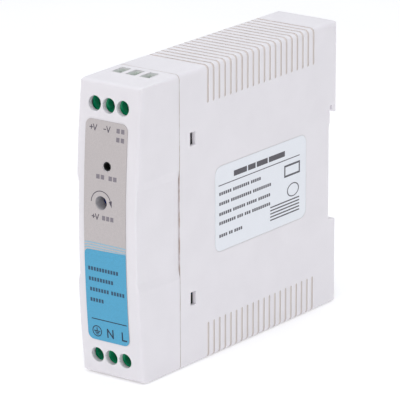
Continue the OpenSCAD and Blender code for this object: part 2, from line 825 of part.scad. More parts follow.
module choke_windings() {
    color("Chocolate") {
        difference() {
            rod_y(choke_x, choke_at[1], choke_y + [-0.9, 0.9], 6.9);
            rod_y(choke_x, choke_at[1], choke_y + [-2, 2], 2.3);
            difference() {
                rod_y(choke_x, choke_at[1], choke_y + [-0.02, 0.02], 6.02);
                rod_y(choke_x, choke_at[1], choke_y + [-1, 1], 3.18);
            }
            block([choke_x - 8, choke_x + 8], choke_y + [-2, 2], [choke_at[1] - 1.1, choke_at[1] + 1.1]);
        }
        for (p = choke_leads) rod_x(p[0], p[1], [tail_x, choke_x - 4.6], lead_r);
    }
}

// A flat package on two rows of leads
module chip_part(at, size, lead_places) {
    block([board_face + 0.5, board_face + 0.5 + size[0]], [at[0] - size[1] / 2, at[0] + size[1] / 2],
        [at[1] - size[2] / 2, at[1] + size[2] / 2]);
    knee_x = board_face + 0.5 + size[0] / 2;
    for (p = lead_places) {
        inward = at[0] + (p[0] - at[0]) * 0.75;
        leads([p], knee_x);
        block([knee_x - 0.15, knee_x + 0.15], [min(p[0], inward), max(p[0], inward)],
            [p[1] - 0.3, p[1] + 0.3]);
    }
}

module bridge_rectifier() {
    color("DimGray") chip_part(bridge_at, [3.3, 6.4, 8.6], bridge_leads);
}

module control_chip() {
    color("DimGray") chip_part(control_at, [3.3, 6.4, 9.3], control_leads);
}

module optocoupler() {
    color("White") chip_part(opto_at, [3.5, 6.4, 4.7], opto_leads);
}

module bulk_capacitor() {
    r = 7.3;
    x = board_face + r + 0.3;
    color("MidnightBlue") {
        difference() {
            rod_z(x, bulk_at[0], [bulk_at[1], bulk_at[1] + 25], r);
            translate([x, bulk_at[0], bulk_at[1] + 2]) rotate_extrude() translate([r + 0.5, 0]) circle(0.9);
        }
        for (p = bulk_leads) {
            rod_x(p[0], p[1], [tail_x, x], lead_r);
            rod_z(x, p[0], [p[1], bulk_at[1] + thin], lead_r);
        }
    }
}

// An upright can on two leads
module can_part(at, r, h, lead_places) {
    difference() {
        rod_x(at[0], at[1], [board_face + 0.1, board_face + 0.1 + h], r);
        translate([board_face + 1.7, at[0], at[1]]) rotate([0, 90, 0])
            rotate_extrude() translate([r + 0.3, 0]) circle(0.6);
    }
    leads(lead_places, board_face + 0.2);
}

module output_capacitors() {
    color("DarkSlateBlue") for (at = output_caps_at) can_part(at, 5, 15, pair_z(at, 2.5));
}

module bias_capacitor() {
    color("DarkSlateBlue") can_part(bias_cap_at, 4, 11, bias_cap_leads);
}

module output_inductor() {
    x = board_face + 0.1;
    color("DarkSlateGray") {
        rod_x(inductor_at[0], inductor_at[1], [x, x + 2], 5.2);
        rod_x(inductor_at[0], inductor_at[1], [x + 2 - thin, x + 9], 4.6);
        rod_x(inductor_at[0], inductor_at[1], [x + 9 - thin, x + 11], 5.2);
        leads(inductor_leads, x + 0.1);
    }
}

// Transformer: an E-core pair round a pinned bobbin, its winding axis along Z
core_x = board_face + 7.1;
core_half = [2.5, 10, 8.5];
core_leg = 2.6;
window_out = 7.6;
window_half_z = 5.9;

module at_transformer() {
    translate([core_x, transformer_at[0], transformer_at[1]]) children();
}

module transformer_core() {
    color("DarkSlateGray") at_transformer() difference() {
        block([-core_half[0], core_half[0]], [-core_half[1], core_half[1]], [-core_half[2], core_half[2]]);
        for (s = [0, 1]) mirror([0, s, 0])
            block([-core_half[0] - 1, core_half[0] + 1], [core_leg, window_out],
                [-window_half_z, window_half_z]);
        block([-core_half[0] - 1, core_half[0] + 1], [-core_half[1] - 1, core_half[1] + 1],
            [-0.03, 0.03]);
    }
}

module transformer_bobbin() {
    flange_half_y = window_out - 0.1;
    color("Black") {
        at_transformer() difference() {
            union() {
                block([-core_half[0] - 0.8, core_half[0] + 0.8], [-core_leg - 0.9, core_leg + 0.9],
                    [0.1 - window_half_z, window_half_z - 0.1]);
                for (s = [0, 1]) mirror([0, 0, s]) {
                    block([-6, 6], [-flange_half_y, flange_half_y],
                        [window_half_z - 1.1, window_half_z - 0.1]);
                    block([-6.95, -4], [-flange_half_y, flange_half_y],
                        [window_half_z - 1.1, core_half[2] - 0.2]);
                }
            }
            block([-core_half[0] - 0.05, core_half[0] + 0.05], [-core_leg - 0.05, core_leg + 0.05],
                [-core_half[2], core_half[2]]);
        }
        leads(transformer_leads, core_x - 6.5);
    }
}

module transformer_winding() {
    length = 2 * window_half_z - 2.4;
    color("Gold") at_transformer() translate([0, 0, -length / 2]) linear_extrude(length) difference() {
        round_rect([-5.6, 5.6], [-7.2, 7.2], 2);
        square([2 * core_half[0] + 1.7, 2 * core_leg + 1.9], center = true);
    }
}

// Power packages, each bolted to an upright plate
package_x = [board_face + 3.6, board_face + 14.2];
bolt_x = board_face + 11.2;
package_t = 3.3;
plate_t = 1.6;
bolt_r = 1.45;

// side is 1 where the plate is behind the package, and -1 where it is ahead of it
module power_package(at, lead_places) {
    difference() {
        block(package_x, [at[0] - package_t / 2, at[0] + package_t / 2], [at[1] - 4, at[1] + 4]);
        rod_y(bolt_x, at[1], [at[0] - 3, at[0] + 3], bolt_r + 0.1);
    }
    leads(lead_places, package_x[0] + 0.1);
}

function plate_y(at, side) = side > 0
    ? [at[0] + package_t / 2 + 0.05, at[0] + package_t / 2 + 0.05 + plate_t]
    : [at[0] - package_t / 2 - 0.05 - plate_t, at[0] - package_t / 2 - 0.05];

module heatsink_plate(at, side) {
    y = plate_y(at, side);
    fin_y = side > 0 ? [y[1] - thin, y[1] + 2.4] : [y[0] - 2.4, y[0] + thin];
    difference() {
        union() {
            block([board_face + 0.2, board_face + 15], y, [at[1] - 10, at[1] + 10]);
            for (z = [at[1] - 10, at[1] + 8.8])
                block([board_face + 4, board_face + 15], fin_y, [z, z + 1.2]);
        }
        rod_y(bolt_x, at[1], y + [-1, 1], bolt_r + 0.1);
    }
}

module heatsink_bolt(at, side) {
    y = plate_y(at, side);
    translate([bolt_x, at[0], at[1]]) rotate([0, 0, side > 0 ? 0 : 180]) {
        far = package_t / 2 + 0.05 + plate_t;
        difference() {
            union() {
                rod_y(0, 0, [-package_t / 2 - 1.7, -package_t / 2], 2.6);
                rod_y(0, 0, [-package_t / 2 - thin, far + 2.3], bolt_r);
            }
            for (a = [0, 90]) rotate([0, a, 0])
                block([-1.4, 1.4], [-package_t / 2 - 2.7, -package_t / 2 - 0.8], [-0.3, 0.3]);
        }
        difference() {
            rod_y(0, 0, [far, far + 2], 2.9, $fn = 6);
            rod_y(0, 0, [far - 1, far + 3], bolt_r + 0.03);
        }
    }
}

module switching_transistor() {
    color("DimGray") power_package(switch_at, switch_leads);
}

module output_diode() {
    color("DimGray") power_package(diode_at, diode_leads);
}

module primary_heatsink() {
    color("Silver") heatsink_plate(switch_at, 1);
}

module secondary_heatsink() {
    color("Silver") heatsink_plate(diode_at, -1);
}

module heatsink_fasteners() {
    color("LightGray") {
        heatsink_bolt(switch_at, 1);
        heatsink_bolt(diode_at, -1);
    }
}

// An axial resistor lying along Z, bent down at both ends
module axial_part(at, r, half, lead_places) {
    x = board_face + r + 0.3;
    rod_z(x, at[0], [at[1] - half, at[1] + half], r * 0.88);
    for (s = [-1, 1]) {
        z = at[1] + s * half * 0.72;
        rod_z(x, at[0], [z - half / 4, z + half / 4], r);
    }
    rod_z(x, at[0], [lead_places[0][1], lead_places[1][1]], lead_r);
    for (p = lead_places) rod_x(p[0], p[1], [tail_x, x], lead_r);
}

module power_resistor() {
    color("LightSteelBlue") axial_part(power_resistor_at, 2.2, 6, power_resistor_leads);
}

module small_resistors() {
    color("BurlyWood") for (at = resistors_at) axial_part(at, 1.2, 3.3, pair_z(at, 5));
}

housing();
front_cover();
front_label();
side_label();
din_latch();
latch_spring();
terminal_board();
main_board();
insulation_sheet();
solder_joints();
terminal_block(true);  // terminal_block_top
terminal_block(false);  // terminal_block_bottom
contact_bars(true);  // contact_bars_top
contact_bars(false);  // contact_bars_bottom
for (i = [0:2]) {
    at_pole(true, i) terminal_screw();
    at_pole(false, i) terminal_screw();
    at_pole(true, i) clamp_cage();
    at_pole(false, i) clamp_cage();
}
indicator_led();
led_bezel();
led_spacer();
trimmer_body();
trimmer_rotor();
trimmer_riser();
link_headers();
link_pins();
fuse_tube();
fuse_caps();
inrush_thermistor();
surge_varistor();
line_capacitor();
choke_core();
choke_windings();
bridge_rectifier();
bulk_capacitor();
transformer_core();
transformer_bobbin();
transformer_winding();
switching_transistor();
primary_heatsink();
output_diode();
secondary_heatsink();
heatsink_fasteners();
control_chip();
optocoupler();
safety_capacitor();
output_capacitors();
output_inductor();
bias_capacitor();
film_capacitor();
power_resistor();
small_resistors();
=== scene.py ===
"""Looks for a DIN rail power supply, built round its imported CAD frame.

Every CAD node keeps its shape and gets a procedural material. Two of them are
replaced by finer meshes: the latch spring and the choke's windings. The printed
marks are thin raised ink, laid over the two labels.

Frame: X along the rail, -Y the front, Z up, the origin in the middle of the base.
Sizes are written in millimetres and multiplied by MM.
"""

import math

import bpy
from mathutils import Matrix, Vector


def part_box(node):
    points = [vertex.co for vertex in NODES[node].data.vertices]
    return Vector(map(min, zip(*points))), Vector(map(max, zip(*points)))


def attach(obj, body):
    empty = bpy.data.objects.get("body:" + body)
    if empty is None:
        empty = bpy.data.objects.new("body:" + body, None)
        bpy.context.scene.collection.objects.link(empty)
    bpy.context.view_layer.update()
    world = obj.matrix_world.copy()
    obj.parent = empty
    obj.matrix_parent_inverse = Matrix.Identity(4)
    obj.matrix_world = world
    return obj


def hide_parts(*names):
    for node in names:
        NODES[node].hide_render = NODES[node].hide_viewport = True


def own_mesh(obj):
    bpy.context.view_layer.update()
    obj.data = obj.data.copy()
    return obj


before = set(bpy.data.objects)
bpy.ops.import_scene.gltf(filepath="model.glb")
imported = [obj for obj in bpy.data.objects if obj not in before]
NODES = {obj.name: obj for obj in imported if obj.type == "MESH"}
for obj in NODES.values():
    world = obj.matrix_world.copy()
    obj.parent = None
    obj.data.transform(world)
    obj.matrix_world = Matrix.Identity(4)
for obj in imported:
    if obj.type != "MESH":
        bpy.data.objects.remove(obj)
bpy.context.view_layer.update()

MM = 0.001

# The case and its front, in millimetres
CASE_LOW, CASE_HIGH = (Vector(c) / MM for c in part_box("housing"))
HALF_W = CASE_HIGH.x
CASE_H = CASE_HIGH.z
SEAM_Y = CASE_LOW.y
LABEL_LOW, LABEL_HIGH = (Vector(c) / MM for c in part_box("front_label"))
SIDE_LOW, SIDE_HIGH = (Vector(c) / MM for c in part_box("side_label"))
BOW = 2.8                     # how far the bowed front falls back at the top and bottom
LABEL_T = 0.15
BOW_R = ((CASE_H / 2) ** 2 + BOW ** 2) / (2 * BOW) + LABEL_T
SLICES = [2.0 * i for i in range(int(CASE_H / 2) + 2)]
EDGE_R = 1.5                  # radius of the housing's long edges
GROOVES_Y = 11                # middle of the grooved length
GROOVES_HALF = 29             # half of that length
WINDOW_Y = -34.8              # middle of the cover's wire windows
WINDOW_HALF = 2.8             # half of a window's length along Y
WINDOWS_HALF = 9.4            # half of the row of windows along X
GUIDE_SHADE_R = 2.08                # reach of the painted shade round the adjuster's axis, just outside the bore of its guide tube

ROTOR_LOW, ROTOR_HIGH = (Vector(c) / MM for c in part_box("trimmer_rotor"))
ADJUST_AT = ((ROTOR_LOW.x + ROTOR_HIGH.x) / 2, (ROTOR_LOW.z + ROTOR_HIGH.z) / 2)


# ---------------------------------------------------------------- camera and studio

CAMERA_AT = (619.45, -837.11, 358.38)
CAMERA_AZIMUTH = 36.69
CAMERA_ELEVATION = 16.86
CAMERA_ROLL = -0.17
LENS = 327.2
LENS_SHIFT = (0.00325, 0.0025)
FLOOR_HALF = 6.0              # half of the floor's width, in metres


def add_camera():
    """The photograph's viewing angle, from the front right and a little above."""
    data = bpy.data.cameras.new("camera")
    data.lens = LENS
    data.sensor_width = 36
    data.shift_x, data.shift_y = LENS_SHIFT
    camera = bpy.data.objects.new("camera", data)
    bpy.context.scene.collection.objects.link(camera)
    turn = Matrix.Rotation(math.radians(CAMERA_AZIMUTH), 4, "Z")
    tilt = Matrix.Rotation(math.radians(90 - CAMERA_ELEVATION), 4, "X")
    roll = Matrix.Rotation(math.radians(CAMERA_ROLL), 4, "Z")
    camera.matrix_world = Matrix.Translation(Vector(CAMERA_AT) * MM) @ turn @ tilt @ roll
    bpy.context.scene.camera = camera


def add_light(name, at, aim, size, power, colour):
    """A large soft area light, aimed at a point."""
    data = bpy.data.lights.new(name, "AREA")
    data.shape = "RECTANGLE"
    data.size, data.size_y = size
    data.energy = power
    data.color = colour
    light = bpy.data.objects.new(name, data)
    bpy.context.scene.collection.objects.link(light)
    light.location = at
    light.rotation_euler = (Vector(aim) - Vector(at)).to_track_quat("-Z", "Y").to_euler()


def add_studio():
    """A white sky, four soft boxes and a plain pale floor."""
    world = bpy.data.worlds.new("studio")
    world.use_nodes = True
    sky = world.node_tree.nodes["Background"]
    sky.inputs["Color"].default_value = (0.985, 0.985, 1.0, 1)
    sky.inputs["Strength"].default_value = 0.62
    bpy.context.scene.world = world
    centre = (0, 0, 0.045)
    add_light("overhead", (0.05, -0.1, 0.9), centre, (0.8, 0.8), 3.5, (0.91, 0.955, 1.0))
    add_light("key", (0.5, -0.75, 0.6), centre, (0.5, 0.5), 0.6, (1.0, 0.99, 0.97))
    add_light("front", (-0.35, -0.9, 0.35), centre, (0.5, 0.7), 0.55, (1.0, 0.92, 0.84))
    add_light("side", (0.95, -0.15, 0.35), centre, (0.6, 0.6), 0.1, (0.98, 0.985, 1.0))
    mesh = bpy.data.meshes.new("floor")
    corners = [(x * FLOOR_HALF, y * FLOOR_HALF, 0) for x, y in ((-1, -1), (1, -1), (1, 1), (-1, 1))]
    mesh.from_pydata(corners, [], [(0, 1, 2, 3)])
    floor = bpy.data.objects.new("floor", mesh)
    bpy.context.scene.collection.objects.link(floor)
    floor.data.materials.append(floor_paper())


# ---------------------------------------------------------------- material helpers

def rgb(r, g, b):
    """A colour out of 255, as seen on a screen, in linear light."""
    def linear(c):
        c /= 255
        return c / 12.92 if c <= 0.04045 else ((c + 0.055) / 1.055) ** 2.4
    return (linear(r), linear(g), linear(b), 1.0)


def shade(colour, factor):
    """The same colour, lighter or darker."""
    return tuple(min(1.0, c * factor) for c in colour[:3]) + (1.0,)


class Finish:
    """One material. Its textures use the object's own coordinates, in metres."""

    def __init__(self, name, **constants):
        self.material = bpy.data.materials.new(name)
        self.material.use_nodes = True
        self.tree = self.material.node_tree
        self.shader = self.tree.nodes["Principled BSDF"]
        for key, value in constants.items():
            self.shader.inputs[key.replace("_", " ")].default_value = value
        self.coords = self.node("ShaderNodeTexCoord").outputs["Object"]

    def node(self, kind, links=None, values=None, **settings):
        made = self.tree.nodes.new(kind)
        for key, value in settings.items():
            setattr(made, key, value)
        for key, value in (values or {}).items():
            made.inputs[key].default_value = value
        for key, source in (links or {}).items():
            self.tree.links.new(source, made.inputs[key])
        return made

    def to(self, socket, source):
        self.tree.links.new(source, self.shader.inputs[socket])

    def axis(self, which):
        split = self.node("ShaderNodeSeparateXYZ", {"Vector": self.coords})
        return split.outputs[which]

    def off(self, which, at_mm):
        """Distance from a plane across one axis."""
        return self.maths("ABSOLUTE", self.maths("SUBTRACT", self.axis(which), at_mm * MM))

    def within(self, distance, edge_mm, fade_mm):
        """1 up to a distance, then down to 0 over a short fade."""
        return self.spread(distance, edge_mm * MM, (edge_mm + fade_mm) * MM, 1, 0)

    def maths(self, operation, a, b=0.0):
        """a and b are sockets or numbers."""
        made = self.tree.nodes.new("ShaderNodeMath")
        made.operation = operation
        for i, value in enumerate((a, b)):
            if isinstance(value, (int, float)):
                made.inputs[i].default_value = value
            else:
                self.tree.links.new(value, made.inputs[i])
        return made.outputs[0]

    def spread(self, value, low, high, to_low=0.0, to_high=1.0):
        """value's range low..high, mapped and clamped."""
        made = self.node(
            "ShaderNodeMapRange",
            {"Value": value},
            {"From Min": low, "From Max": high, "To Min": to_low, "To Max": to_high},
        )
        return made.outputs["Result"]

    def noise(self, size_mm, detail=2.0, stretch=(1, 1, 1)):
        """Soft noise whose features are about size_mm across."""
        place = self.node("ShaderNodeMapping", {"Vector": self.coords}, {"Scale": stretch})
        made = self.node(
            "ShaderNodeTexNoise",
            {"Vector": place.outputs["Vector"]},
            {"Scale": 1 / (size_mm * MM), "Detail": detail},
        )
        return made.outputs["Fac"]

    def clouds(self, size_mm, detail=3.0, stretch=(1, 1, 1)):
        """Soft noise spread over the range 0 to 1."""
        return self.spread(self.noise(size_mm, detail, stretch), 0.35, 0.65)

    def uneven(self, size_mm, low, high, detail=2.0):
        """Roughness that wanders between two values."""
        self.to("Roughness", self.spread(self.noise(size_mm, detail), 0.3, 0.7, low, high))

    def waves(self, direction, scale, distortion=0.0, detail=2.0):
        """Straight bands across one axis."""
        made = self.node(
            "ShaderNodeTexWave",
            {"Vector": self.coords},
            {"Scale": scale, "Distortion": distortion, "Detail": detail},
            bands_direction=direction,
        )
        return made.outputs["Fac"]

    def specks(self, size_mm, spacing_mm):
        """1 inside sparse round specks, 0 elsewhere."""
        made = self.node(
            "ShaderNodeTexVoronoi", {"Vector": self.coords}, {"Scale": 1 / (spacing_mm * MM)}
        )
        edge = size_mm / spacing_mm
        return self.spread(made.outputs["Distance"], edge * 0.6, edge, 1.0, 0.0)

    def mix(self, factor, a, b):
        """a and b are colours or sockets."""
        made = self.node("ShaderNodeMix", data_type="RGBA")
        for key, value in (("Factor", factor), ("A", a), ("B", b)):
            at = [s for s in made.inputs if s.name == key and s.enabled][0]
            if isinstance(value, (tuple, int, float)):
                at.default_value = value
            else:
                self.tree.links.new(value, at)
        return [s for s in made.outputs if s.enabled][0]

    def skin_depth(self, half_x, half_z, radius):
        """How deep a point lies under a rounded box's skin, seen along Y."""
        out_x = self.maths("SUBTRACT", self.off("X", 0), (half_x - radius) * MM)
        out_z = self.maths("SUBTRACT", self.off("Z", half_z), (half_z - radius) * MM)
        squares = [self.maths("POWER", self.maths("MAXIMUM", out, 0.0), 2.0)
                   for out in (out_x, out_z)]
        corner = self.maths("SQRT", self.maths("ADD", *squares))
        flat = self.maths("MINIMUM", self.maths("MAXIMUM", out_x, out_z), 0.0)
        return self.maths("SUBTRACT", radius * MM, self.maths("ADD", corner, flat))

    def bump(self, height, strength, depth_mm, base=None):
        links = {"Height": height}
        if base is not None:
            links["Normal"] = base
        made = self.node(
            "ShaderNodeBump", links, {"Strength": strength, "Distance": depth_mm * MM}
        )
        return made.outputs["Normal"]

    def soft_edges(self, radius_mm):
        """Rounds sharp edges in the shading only."""
        return self.node(
            "ShaderNodeBevel", None, {"Radius": radius_mm * MM}, samples=4
        ).outputs["Normal"]


# ---------------------------------------------------------------- materials

def moulded(name, colour, rough=0.45, grain_mm=0.16, depth_mm=0.012, edge_mm=0.12):
    """Injection-moulded plastic: faint cloudy tone, spark-eroded grain, eased edges."""
    f = Finish(name, Specular_IOR_Level=0.45)
    f.to("Base Color", f.mix(f.clouds(9), shade(colour, 0.965), shade(colour, 1.02)))
    f.uneven(2.2, rough - 0.06, rough + 0.08, 3)
    f.to("Normal", f.bump(f.noise(grain_mm, 2), 0.35, depth_mm, f.soft_edges(edge_mm)))
    return f


def case_plastic(name, colour, grooves):
    """The case's cool white plastic. A painted shadow line, broken up by dust, warms the seam, and
    painted shade with some dust warms the grooves where there are any.
    On the cover, the wire windows' walls are made paler with painted light, and the adjuster's guide
    tube is made darker with painted shade."""
    f = Finish(name, Specular_IOR_Level=0.42, Subsurface_Weight=0.6, Subsurface_Scale=0.8 * MM,
               Subsurface_Radius=(1.0, 1.0, 1.0))
    plain = f.mix(f.clouds(11), shade(colour, 0.985), shade(colour, 1.01))
    plain = f.mix(f.maths("MULTIPLY", f.specks(0.11, 9.0), 0.5), plain, rgb(150, 135, 125))
    # Painted shadow line along the seam, partly dust: a warm brown tint within about 0.16 mm of it,
    # broken up by patchy noise.
    seam_dust_and_shadow = f.spread(f.noise(3.5, 3), 0.4, 0.62, 0.3, 0.9)
    seam = f.maths("MULTIPLY", f.within(f.off("Y", SEAM_Y - 0.06), 0.08, 0.08), seam_dust_and_shadow)
    plain = f.mix(seam, plain, rgb(190, 170, 160))
    depth = f.skin_depth(HALF_W, CASE_H / 2, EDGE_R)
    if grooves:
        # Painted shade in the grooves, with some dust: everything deeper than about 0.03 mm under the
        # skin, along the grooved length, is tinted beige.
        along = f.within(f.off("Y", GROOVES_Y), GROOVES_HALF, 1)
        inside = f.maths("MULTIPLY", f.spread(depth, 0.03 * MM, 0.08 * MM), along)
        plain = f.mix(f.maths("MULTIPLY", inside, 0.8), plain, rgb(219, 210, 205))
    else:
        # Painted light: the wire windows' walls, deeper than 0.3 mm under the skin, are tinted near
        # white to lift the shade inside them.
        row = f.maths("MULTIPLY", f.within(f.off("Y", WINDOW_Y), WINDOW_HALF, 0.2),
                      f.within(f.off("X", 0), WINDOWS_HALF, 0.2))
        window_wall_light = f.maths("MULTIPLY", f.spread(depth, 0.3 * MM, 0.7 * MM), row)
        plain = f.mix(window_wall_light, plain, rgb(252, 255, 251))
        # Painted shade inside the adjuster's guide tube: a grey tint out to the bore's radius round
        # the adjuster's axis.
        sides = [f.maths("POWER", f.off(name, at), 2.0) for name, at in zip("XZ", ADJUST_AT)]
        reach = f.maths("SQRT", f.maths("ADD", *sides))
        plain = f.mix(f.within(reach, GUIDE_SHADE_R, 0.04), plain, rgb(192, 190, 194))
    f.to("Base Color", plain)
    f.uneven(1.6, 0.42, 0.56, 3)
    f.to("Normal", f.bump(f.noise(0.14, 2), 0.3, 0.01, f.soft_edges(0.14)))
    return f


def sticker(name, colour, fleck, fleck_mm, rough):
    """Printed film: even colour broken by the fine dots of the print."""
    f = Finish(name, Specular_IOR_Level=0.5, Coat_Weight=0.12, Coat_Roughness=0.3)
    dots = f.spread(f.noise(fleck_mm, 3), 0.38, 0.62)
    base = f.mix(dots, shade(colour, 1 - fleck), shade(colour, 1 + fleck))
    patches = f.maths("MULTIPLY", f.clouds(7, 2), 0.35)
    f.to("Base Color", f.mix(patches, base, shade(colour, 0.96)))
    f.to("Roughness", f.spread(dots, 0, 1, rough - 0.05, rough + 0.05))
    f.to("Normal", f.bump(f.noise(1.8, 2), 0.2, 0.01, f.soft_edges(0.05)))
    return f


def metal(name, colour, rough, stretch=(1, 1, 1), grain_mm=0.25):
    """Plated or bare metal with fine tooling marks and a little tarnish."""
    f = Finish(name, Metallic=1.0)
    tarnish = f.spread(f.noise(1.3, 4), 0.4, 0.7)
    f.to("Base Color", f.mix(tarnish, colour, shade(colour, 0.82)))
    marks = f.noise(grain_mm, 3, stretch)
    f.to("Roughness", f.spread(marks, 0.3, 0.7, rough - 0.08, rough + 0.1))
    f.to("Normal", f.bump(marks, 0.25, 0.01, f.soft_edges(0.06)))
    return f


def laminate(name):
    """Glass-fibre board: solder mask over a woven cloth, with lighter tracks."""
    f = Finish(name, Specular_IOR_Level=0.5, Coat_Weight=0.4, Coat_Roughness=0.2)
    mask = rgb(20, 92, 52)
    weave, across = (f.waves(direction, 1 / (1.6 * MM), 0.6) for direction in "ZY")
    cloth = f.maths("MULTIPLY", weave, across)
    tracks = f.node("ShaderNodeTexVoronoi", {"Vector": f.coords}, {"Scale": 1 / (6.5 * MM)},
                    feature="DISTANCE_TO_EDGE")
    copper = f.spread(tracks.outputs["Distance"], 0.05, 0.09)
    base = f.mix(f.spread(cloth, 0.1, 0.9), shade(mask, 0.9), shade(mask, 1.1))
    f.to("Base Color", f.mix(copper, shade(mask, 0.7), base))
    f.uneven(1.0, 0.3, 0.45)
    f.to("Normal", f.bump(copper, 0.4, 0.04, f.bump(cloth, 0.2, 0.01)))
    return f


def sleeved_can(name, sleeve, stripe_side, node, up):
    """A capacitor's printed sleeve, and the bare aluminium of its top, along the axis up."""
    f = Finish(name, Specular_IOR_Level=0.5, Coat_Weight=0.3, Coat_Roughness=0.25)
    base = f.mix(f.clouds(0.5, 2), shade(sleeve, 0.9), shade(sleeve, 1.1))
    stripe = f.spread(f.waves(stripe_side, 1 / (9.0 * MM)), 0.93, 0.97)
    base = f.mix(stripe, base, rgb(150, 160, 178))
    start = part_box(node)[1]["XYZ".index(up)] / MM - 0.05
    bare = f.spread(f.axis(up), (start - 0.02) * MM, start * MM)
    f.to("Base Color", f.mix(bare, base, rgb(190, 192, 196)))
    f.uneven(1.2, 0.3, 0.42)
    f.to("Normal", f.bump(f.noise(0.8, 2), 0.15, 0.02, f.soft_edges(0.2)))
    return f


def wound(name, colour, pitch_mm, direction, metallic=0.0):
    """Turns of wire or tape, laid side by side."""
    f = Finish(name, Metallic=metallic, Coat_Weight=0.4, Coat_Roughness=0.2)
    lines = f.waves(direction, 0.314 / (pitch_mm * MM), 0.3, 1.0)
    f.to("Base Color", f.mix(lines, shade(colour, 0.55), shade(colour, 1.1)))
    f.uneven(0.8, 0.25, 0.4)
    f.to("Normal", f.bump(lines, 0.6, pitch_mm * 0.3))
    return f


def coated(name, colour, gloss=0.25):
    """Dipped lacquer or epoxy: glossy, with a slow orange-peel surface."""
    f = Finish(name, Specular_IOR_Level=0.5, Coat_Weight=0.5, Coat_Roughness=0.15)
    f.to("Base Color", f.mix(f.clouds(2.5), shade(colour, 0.88), shade(colour, 1.08)))
    f.uneven(0.6, gloss, gloss + 0.15)
    f.to("Normal", f.bump(f.noise(1.6, 2), 0.3, 0.05, f.soft_edges(0.15)))
    return f


def banded_resistor(name, colour, bands):
    """A resistor's lacquer with plain colour rings round its middle."""
    f = coated(name, colour)
    base = f.mix(f.clouds(2.5), shade(colour, 0.9), shade(colour, 1.05))
    for centre in bands:
        base = f.mix(f.within(f.off("Z", centre), 0.25, 0.05), base, rgb(120, 48, 30))
    f.to("Base Color", base)
    return f


def ferrite(name):
    """Ground ferrite: near-black grey with a sintered grain."""
    f = Finish(name, Specular_IOR_Level=0.35)
    grain = f.clouds(0.35, 5)
    f.to("Base Color", f.mix(grain, rgb(44, 45, 48), rgb(66, 67, 70)))
    f.to("Roughness", f.spread(grain, 0, 1, 0.55, 0.75))
    f.to("Normal", f.bump(grain, 0.35, 0.02, f.soft_edges(0.15)))
    return f


def lens(name):
    """The green indicator's tinted, slightly milky epoxy."""
    f = Finish(name, IOR=1.5, Transmission_Weight=0.55, Coat_Weight=0.3, Coat_Roughness=0.1)
    cloud = f.clouds(0.9)
    f.to("Base Color", f.mix(cloud, rgb(34, 122, 70), rgb(62, 158, 96)))
    f.to("Roughness", f.spread(cloud, 0, 1, 0.18, 0.3))
    f.to("Normal", f.bump(cloud, 0.1, 0.01))
    return f


def film(name):
    """Thin insulating sheet, a little see-through and rippled."""
    f = Finish(name, Specular_IOR_Level=0.5, Transmission_Weight=0.15)
    fibres = f.clouds(1.2, 3, (1, 1, 3))
    f.to("Base Color", f.mix(fibres, rgb(222, 212, 178), rgb(238, 230, 202)))
    f.to("Roughness", f.spread(fibres, 0, 1, 0.35, 0.5))
    f.to("Normal", f.bump(f.noise(6, 2), 0.3, 0.1))
    return f


def ink(name, colour):
    """Screen-printed ink: flat-toned, thin at the edges of its dots."""
    f = Finish(name, Specular_IOR_Level=0.4)
    dots = f.spread(f.noise(0.22, 3), 0.3, 0.7)
    f.to("Base Color", f.mix(dots, shade(colour, 1.25), shade(colour, 0.9)))
    f.to("Roughness", f.spread(dots, 0, 1, 0.45, 0.6))
    f.to("Normal", f.bump(dots, 0.1, 0.005))
    return f


def floor_paper():
    """The studio's seamless white paper."""
    f = Finish("studio_paper", Specular_IOR_Level=0.1, Emission_Color=(1.0, 1.0, 1.0, 1.0),
               Emission_Strength=0.2)
    cloud = f.spread(f.noise(60, 2), 0.3, 0.7)
    f.to("Base Color", f.mix(cloud, (0.93, 0.93, 0.935, 1), (0.95, 0.95, 0.955, 1)))
    f.uneven(0.8, 0.8, 0.9)
    return f.material


CASE_WHITE = rgb(232, 229, 233)


